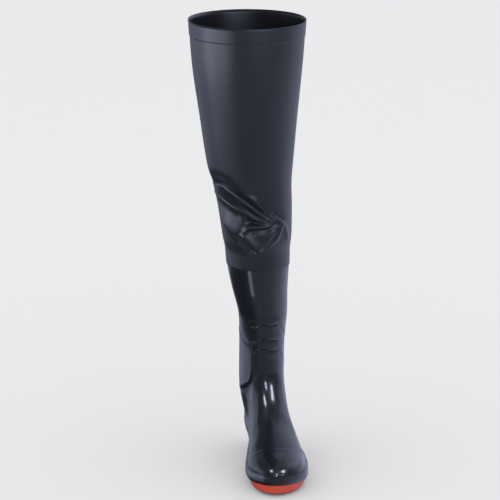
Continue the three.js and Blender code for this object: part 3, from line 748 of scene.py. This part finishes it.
foot_numbers = np.concatenate([
    [0, 0.02, 0.05],
    np.arange(0.1, 0.9, 0.08),
    np.arange(0.92, 1.1, 0.012),
    np.arange(1.15, 12, 0.11),
])
shaft_heights = np.concatenate([
    np.arange(172, 0.475 * COLLAR_HEIGHT, 2.2),
    np.arange(0.48 * COLLAR_HEIGHT, 0.7 * COLLAR_HEIGHT, 0.8),
    np.arange(0.703 * COLLAR_HEIGHT, COLLAR_HEIGHT, 3.0),
    [COLLAR_HEIGHT],
])
base = np.concatenate([foot_rings(foot_numbers), level_rings(boot_form, shaft_table, shaft_heights)])
base = smoothed(base, 6, 30)
out = directions(base)
relief = band_relief(base) + cap_relief(base) + rib_relief(base) + guard_relief(base)
inner = (base - out * BOOT_WALL)[every_few(base, 5)]
boot = closed_wall("boot_moulding", base + out * relief[..., None], inner)

pvc, shade, shader = material("black_pvc", specular_ior_level=0.4, coat_weight=1.0, coat_roughness=0.1)
cloud = noise(shade, 18.0, 4.0)
wave = noise(shade, 34.0, 1.0)
grain = noise(shade, 1400.0, 2.0)
skin = bump(shade, grain, 0.05, 0.0001, under=bump(shade, wave, 0.35, 0.0012))
feed(
    shade,
    shader,
    base_color=colours(shade, cloud, (0.3, (0.0045, 0.0048, 0.0070)), (0.7, (0.0065, 0.0070, 0.0100))),
    roughness=0.2 + 0.12 * cloud,
    normal=skin,
)
dress(boot, pvc)
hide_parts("boot")

# Insole
# A thin sheet of grey felt, cut to the sole's inside and laid loose in the boot.
# The solid's own shape is right, so it only gets its material here.
felt, shade, shader = material("grey_felt", specular_ior_level=0.1)
fibre = noise(shade, 420.0, 6.0, 0.7)
feed(
    shade,
    shader,
    base_color=colours(shade, fibre, (0.3, (0.06, 0.06, 0.06)), (0.7, (0.13, 0.13, 0.125))),
    roughness=0.85 + 0.1 * fibre,
    normal=bump(shade, fibre, 0.5, 0.0006),
)
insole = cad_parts["insole"]
insole.data.materials.clear()
insole.data.materials.append(felt)

# Leg
# Black fabric with a smooth PVC coating, lapped 28 mm over the boot's collar and welded there.
# It is slack below the knee, has a lap seam down the back and a folded hem at the top.
LEG_WALL = 0.9
LEG_HEIGHT = 790
KNEE_HEIGHT = 530
KNEE_WIDTH = 146
KNEE_DEPTH = 150
THIGH_WIDTH = 200
THIGH_DEPTH = 214
TOP_HEM = 26
HEM_STEP = 0.9
SEAM_WIDTH = 12
SEAM_STEP = 0.6


def shaft_row(height):
    """The shaft's own middle and size, for the lap over the collar."""
    columns = (shaft_table.x, shaft_table.y, shaft_table.width, shaft_table.depth)
    return (height, *(column(height) for column in columns))


def between(low, high, t, x, y, width, depth):
    """A row with its middle given, and its height, width and depth as shares between two sizes."""
    return (mix(low[0], high[0], t), x, y, mix(low[1], high[1], width), mix(low[2], high[2], depth))


collar_size = (COLLAR_HEIGHT, COLLAR_WIDTH, COLLAR_DEPTH)
knee_size = (KNEE_HEIGHT, KNEE_WIDTH, KNEE_DEPTH)
thigh_size = (LEG_HEIGHT, THIGH_WIDTH, THIGH_DEPTH)
leg_table = Table(
    "height x y width depth",
    shaft_row(COLLAR_HEIGHT - WELD_LAP),
    shaft_row(COLLAR_HEIGHT - WELD_LAP / 2),
    shaft_row(COLLAR_HEIGHT),
    between(collar_size, knee_size, 0.15, -16, -27, 0.2, 0.4),
    between(collar_size, knee_size, 0.55, -20, -28, 0.48, 0.8),
    between(collar_size, knee_size, 0.78, -24, -28, 0.66, 1.0),
    (KNEE_HEIGHT, -28, -28, KNEE_WIDTH, 1.03 * KNEE_DEPTH),
    between(knee_size, thigh_size, 0.35, -31, -28, 0.4, 0.4),
    between(knee_size, thigh_size, 0.75, -33, -27, 0.84, 0.84),
    (LEG_HEIGHT, -33, -26, THIGH_WIDTH, THIGH_DEPTH),
)
# Ridges (plus) and troughs (minus) of the slack fabric: height, softness on the left and on the right of
# the run, and the run itself as bearings, heights and strengths
folds = {
    "long trough": (-9.5, 15, 6, [
        (-84, 503, 0.2), (-64, 503, 0.9), (-49, 499, 1), (-29, 488, 1), (-15, 479, 1),
        (-4, 468, 0.9), (6, 459, 0.8), (14, 451, 0.5), (20, 446, 0),
    ]),
    "its soft upper edge": (-3.0, 9, 9, [
        (-84, 516, 0.2), (-60, 517, 1), (-43, 516, 1), (-32, 510, 0.7), (-22, 499, 0),
    ]),
    "ridge below it": (5.0, 5, 8, [
        (-80, 490, 0.3), (-64, 488, 0.7), (-49, 484, 0.9), (-29, 473, 1), (-15, 466, 1),
        (-4, 456, 1), (5, 449, 1), (17, 443, 0.6), (21, 441, 0),
    ]),
    "pocket": (-5.0, 3.5, 4, [
        (-21, 449, 0), (-13, 448, 0.8), (-4, 446.5, 1), (5, 445, 0.8), (13, 443, 0),
    ]),
    "lip": (5.0, 3.0, 5.5, [
        (20, 442, 0.2), (10, 440, 0.9), (-2, 438.5, 1), (-13, 437, 1), (-19, 432, 0.9),
        (-23, 426, 0),
    ]),
    "trough under the lip": (-4.0, 5, 3.5, [
        (24, 456, 0), (24, 447, 0.7), (19, 439, 1), (10, 433, 1), (-4, 430.5, 1),
        (-12, 428.5, 0.9), (-18, 423, 0),
    ]),
    "broad swell on the inner side": (7.0, 24, 9, [
        (-84, 458, 0), (-66, 450, 0.5), (-52, 440, 1), (-42, 431, 1), (-33, 423, 0.8),
        (-26, 418, 0.3), (-21, 414, 0),
    ]),
    "rise beside the pocket": (1.5, 5.5, 5.5, [
        (-25, 464, 0), (-24, 453, 1), (-22, 443, 1), (-20, 434, 0),
    ]),
    "flap": (6.5, 10, 4, [
        (-27, 428, 0), (-22, 420, 0.9), (-15, 411, 1), (-8, 402, 1), (-3, 397, 0.8), (2, 391, 0),
    ]),
    "trough under the flap": (-5.5, 4, 7, [
        (-34, 424, 0), (-28, 416, 0.9), (-21, 407, 1), (-14, 398, 1), (-9, 392, 0.7), (-5, 387, 0),
    ]),
    "slope to the outer side": (3.5, 5, 7, [
        (25, 441, 0), (21, 431, 1), (15, 422, 1), (9, 412, 0.8), (4, 402, 0),
    ]),
    "hooked ridge": (4.5, 4.5, 7, [
        (19, 458, 0), (23, 455, 0.8), (28, 450, 0.9), (33, 443, 1), (32, 435, 1), (29, 425, 1),
        (24, 415, 0.8), (15, 406, 0.4), (9, 401, 0),
    ]),
    "small ridge": (2.0, 6, 8, [
        (-15, 495, 0), (-8, 490, 0.8), (0, 483, 1), (8, 471, 0.9), (15, 462, 0),
    ]),
    "small trough": (-5.0, 10, 5, [
        (-15, 500, 0), (-8, 497, 0.8), (1, 491, 1), (10, 478, 1), (19, 466, 1), (27, 455, 0.9),
        (33, 446, 0.5), (37, 439, 0),
    ]),
    "outer ridge": (3.0, 6, 6, [
        (33, 448, 0), (38, 439, 0.9), (44, 427, 1), (48, 411, 0.7), (47, 400, 0),
    ]),
    "upper trough behind": (-3.0, 8, 6, [
        (100, 470, 0), (125, 461, 1), (150, 452, 1), (175, 447, 0.8), (200, 440, 0),
    ]),
    "upper ridge behind": (3.0, 5, 7, [
        (105, 455, 0), (130, 447, 1), (155, 440, 1), (185, 436, 0),
    ]),
    "rising trough behind": (-3.0, 6, 6, [
        (165, 425, 0), (190, 432, 1), (215, 443, 1), (240, 452, 0),
    ]),
    "rising ridge behind": (3.0, 5, 6, [
        (160, 415, 0), (185, 421, 1), (212, 431, 1), (238, 438, 0),
    ]),
    "outer trough behind": (-2.5, 5, 5, [
        (115, 437, 0), (135, 430, 1), (158, 419, 0),
    ]),
    "outer ridge behind": (2.5, 4, 6, [
        (110, 427, 0), (128, 419, 1), (150, 408, 0),
    ]),
}


def fold_relief(p):
    """The folds' height over the tube, which dies out at the weld."""
    angle = bearing(p, leg_table)
    arc = np.radians(1) * (KNEE_WIDTH + KNEE_DEPTH) / 4
    total = np.zeros_like(angle)
    for height, left, right, run in folds.values():
        middle = run[len(run) // 2][0]
        u = ((angle - middle + 180) % 360 - 180) * arc
        line = smooth_line([((a - middle) * arc, z, s) for a, z, s in run])
        off, strength = from_line(u, p[..., 2], line)
        soft = np.where(off > 0, left, right)
        total += height * strength * np.exp(-((off / soft) ** 2))
    return total * ease((p[..., 2] - COLLAR_HEIGHT) / 8)


leg_heights = np.concatenate([
    np.arange(COLLAR_HEIGHT - WELD_LAP, COLLAR_HEIGHT, 2.0),
    np.arange(COLLAR_HEIGHT, 515, 1.3),
    np.arange(517, LEG_HEIGHT - TOP_HEM - 2, 4.0),
    np.arange(LEG_HEIGHT - TOP_HEM - 2, LEG_HEIGHT - TOP_HEM + 2, 0.5),
    np.arange(LEG_HEIGHT - TOP_HEM + 3, LEG_HEIGHT, 4.0),
    [LEG_HEIGHT],
])
base = level_rings(tube(leg_table), leg_table, leg_heights, 1.4)
base = smoothed(base, 3, 4)
out = directions(base)
slack = fold_relief(base)
z = base[..., 2]
hem = HEM_STEP * ease((z - LEG_HEIGHT + TOP_HEM + 0.6) / 1.2)
behind = base[..., 1] > leg_table.y(z)
seam = SEAM_STEP * behind * (1 - ease((np.abs(base[..., 0] - leg_table.x(z)) - SEAM_WIDTH) / 1.0))
outer = base + out * (SEAT_GAP + LEG_WALL + slack + hem + seam)[..., None]
inner = (base + out * (SEAT_GAP + slack)[..., None])[every_few(base, 3)]
leg = closed_wall("leg_fabric", outer, inner)

cloth, shade, shader = material(
    "coated_fabric", specular_ior_level=0.45, coat_weight=0.85, coat_roughness=0.36
)
cloud = noise(shade, 14.0, 4.0)
weave = noise(shade, 1100.0, 2.0)
crumple = noise(shade, 60.0, 3.0, 0.6)
skin = bump(shade, weave, 0.15, 0.0002, under=bump(shade, crumple, 0.25, 0.001))
feed(
    shade,
    shader,
    base_color=colours(shade, cloud, (0.3, (0.0030, 0.0034, 0.0058)), (0.7, (0.0044, 0.0049, 0.0080))),
    roughness=0.36 + 0.12 * cloud,
    normal=skin,
)
dress(leg, cloth)
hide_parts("leg")

# Studio
# A plain pale floor in even white light. The gloss alone shows a studio round it: rings of brighter and
# darker walls, small windows in front, a strip beside the shaft and two broad cards for the fabric.
# The camera looks down from in front, a little from the inner side. Lengths here are in metres.
CAMERA_AZIMUTH = -4.5
CAMERA_ELEVATION = 15
CAMERA_DISTANCE = 4.0
FRAME_HEIGHT = 0.87
SENSOR_WIDTH = 36
FLOOR_CORNER = 15
WINDOW_DISTANCE = 2.4
WINDOW_WATTS = 38

floor_mesh = bpy.data.meshes.new("floor")
corners = [(x * FLOOR_CORNER, y * FLOOR_CORNER, 0) for x, y in ((-1, -1), (1, -1), (1, 1), (-1, 1))]
floor_mesh.from_pydata(corners, [], [(0, 1, 2, 3)])
floor = bpy.data.objects.new("floor", floor_mesh)
bpy.context.scene.collection.objects.link(floor)
paint, shade, shader = material("pale_floor", base_color=(0.86, 0.86, 0.87, 1), roughness=0.9)
floor_mesh.materials.append(paint)
floor.visible_glossy = False

world = bpy.data.worlds.new("studio")
world.use_nodes = True
world.cycles.sampling_method = "NONE"
bpy.context.scene.world = world
sky = Shade(world.node_tree)
way = sky.node("SeparateXYZ", {}, {"Vector": sky.node("TexCoord")})
turn = sky.maths("ARCTAN2", way, -1 * way.out(1)) * (1 / (2 * np.pi)) + 0.5
climb = sky.maths("ARCSINE", way.out(2)) * float(180 / np.pi)


def ring_of_light(*stops):
    """Brightness round the studio: stops are degrees from the front, minus on the inner side, and a level."""
    places = [((angle + 180) / 360, level) for angle, level in stops]
    return sky.node("ValToRGB", {"stops": places}, {"Fac": turn})


# Rings of light from below upwards: the heights (degrees) between which each one gives way to the next,
# and its brightness
rings = [
    ((-42, -35), [
        (-180, 0.25), (-120, 0.15), (-100, 0.06), (-60, 0.15), (-30, 0.4), (30, 0.45), (60, 0.35),
        (90, 0.7), (130, 0.4), (180, 0.25),
    ]),
    ((-23, -18), [
        (-180, 0.12), (-150, 0.03), (-90, 0.05), (-70, 0.08), (-45, 0.12), (-32, 0.28), (20, 0.32),
        (45, 0.4), (75, 0.6), (100, 0.68), (125, 0.6), (150, 0.3), (180, 0.12),
    ]),
    ((-18, -14), [
        (-180, 0.2), (-165, 0.24), (-135, 0.6), (-88, 0.8), (-78, 0.2), (-40, 0.2), (-15, 0.3),
        (30, 0.24), (60, 0.34), (90, 0.48), (105, 0.62), (150, 0.5), (165, 0.22), (180, 0.2),
    ]),
    ((-11, -6), [
        (-180, 0.13), (-150, 0.37), (-128, 0.7), (-108, 1.4), (-88, 1.6), (-74, 0.5), (-50, 0.4),
        (-30, 0.28), (0, 0.23), (30, 0.36), (90, 0.5), (105, 0.75), (130, 0.45), (165, 0.45),
        (180, 0.15),
    ]),
    ((10, 18), [
        (-180, 0.24), (-150, 0.26), (-120, 0.6), (-88, 0.65), (-74, 0.2), (-30, 0.19), (60, 0.2),
        (90, 0.28), (105, 0.5), (135, 0.56), (155, 0.4), (180, 0.25),
    ]),
    ((56, 68), [
        (-180, 0.12), (-120, 0.14), (-75, 0.22), (-60, 0.14), (60, 0.25), (80, 0.25), (100, 0.75),
        (125, 0.85), (150, 0.5), (180, 0.15),
    ]),
    (None, [
        (-180, 0.2), (-100, 0.15), (60, 0.2), (90, 0.35), (150, 0.42), (180, 0.2),
    ]),
]
around = ring_of_light(*rings[0][1])
for (span, _), (_, stops) in zip(rings, rings[1:]):
    around = around + (ring_of_light(*stops) - around) * climb.ease(*span)
in_gloss = sky.node("LightPath", output="Is Glossy Ray")
tint = two_colours(sky, in_gloss, (1, 1, 1, 1), (0.82, 0.90, 1.22, 1))
background = world.node_tree.nodes["Background"]
sky.tree.links.new(tint.socket, background.inputs["Color"])
sky.tree.links.new((1.0 + (around - 1.0) * in_gloss).socket, background.inputs["Strength"])


def direction(azimuth, elevation):
    """The way out from the object: degrees from the front, minus on the inner side, and degrees up."""
    turned, raised = np.radians((azimuth, elevation))
    level = np.cos(raised)
    return Vector((np.sin(turned) * level, -np.cos(turned) * level, np.sin(raised)))


def softbox(name, place, aim, size, watts, only):
    """A light that shows in the first reflection on one piece, and doesn't light or show anywhere else."""
    light = bpy.data.lights.new(name, "AREA")
    light.shape = "RECTANGLE"
    light.size, light.size_y = size
    light.energy = watts
    light.color = (0.86, 0.92, 1.18)
    light.use_nodes = True
    beam = Shade(light.node_tree)
    first_reflection = beam.maths("LESS_THAN", beam.node("LightPath", output="Ray Depth"), 2.5)
    beam.tree.links.new(first_reflection.socket, beam.tree.nodes["Emission"].inputs["Strength"])
    made = bpy.data.objects.new(name, light)
    made.location = place
    made.rotation_euler = (Vector(aim) - Vector(place)).to_track_quat("-Z", "Y").to_euler()
    made.visible_camera = False
    made.visible_diffuse = False
    made.light_linking.receiver_collection = bpy.data.collections.new(name + "_on")
    made.light_linking.receiver_collection.objects.link(only)
    bpy.context.scene.collection.objects.link(made)


instep = Vector((0, -0.1, 0.1))
for name, azimuth, elevation, width, height in [
    ("window_middle", 0, 27, 0.32, 0.8),
    ("window_outer", 38, 42, 0.45, 1.3),
    ("window_inner", -38, 54, 0.45, 0.9),
]:
    place = instep + WINDOW_DISTANCE * direction(azimuth, elevation)
    softbox(name, place, instep, (width, height), WINDOW_WATTS * width * height, boot)
softbox("strip", (-0.106, -0.166, 0.285), (-0.03, -0.09, 0.32), (0.034, 0.1), 0.015, boot)
softbox("card_inner", (-1.05, -0.45, 0.52), (-0.05, -0.05, 0.45), (1.3, 0.6), 4.6, leg)
softbox("card_front", (0.3, -0.99, 1.0), (0, 0, 0.42), (0.75, 0.75), 2.8, leg)

low, high = (Vector(corner) for corner in cad_box)
aim = (low + high) / 2
away = direction(CAMERA_AZIMUTH, CAMERA_ELEVATION)
camera_data = bpy.data.cameras.new("camera")
camera_data.sensor_width = SENSOR_WIDTH
camera_data.lens = SENSOR_WIDTH * CAMERA_DISTANCE / FRAME_HEIGHT
camera_data.clip_end = 60
camera = bpy.data.objects.new("camera", camera_data)
camera.location = aim + away * CAMERA_DISTANCE
camera.rotation_euler = away.to_track_quat("Z", "Y").to_euler()
bpy.context.scene.collection.objects.link(camera)
bpy.context.scene.camera = camera
bpy.context.scene.view_settings.view_transform = "Standard"
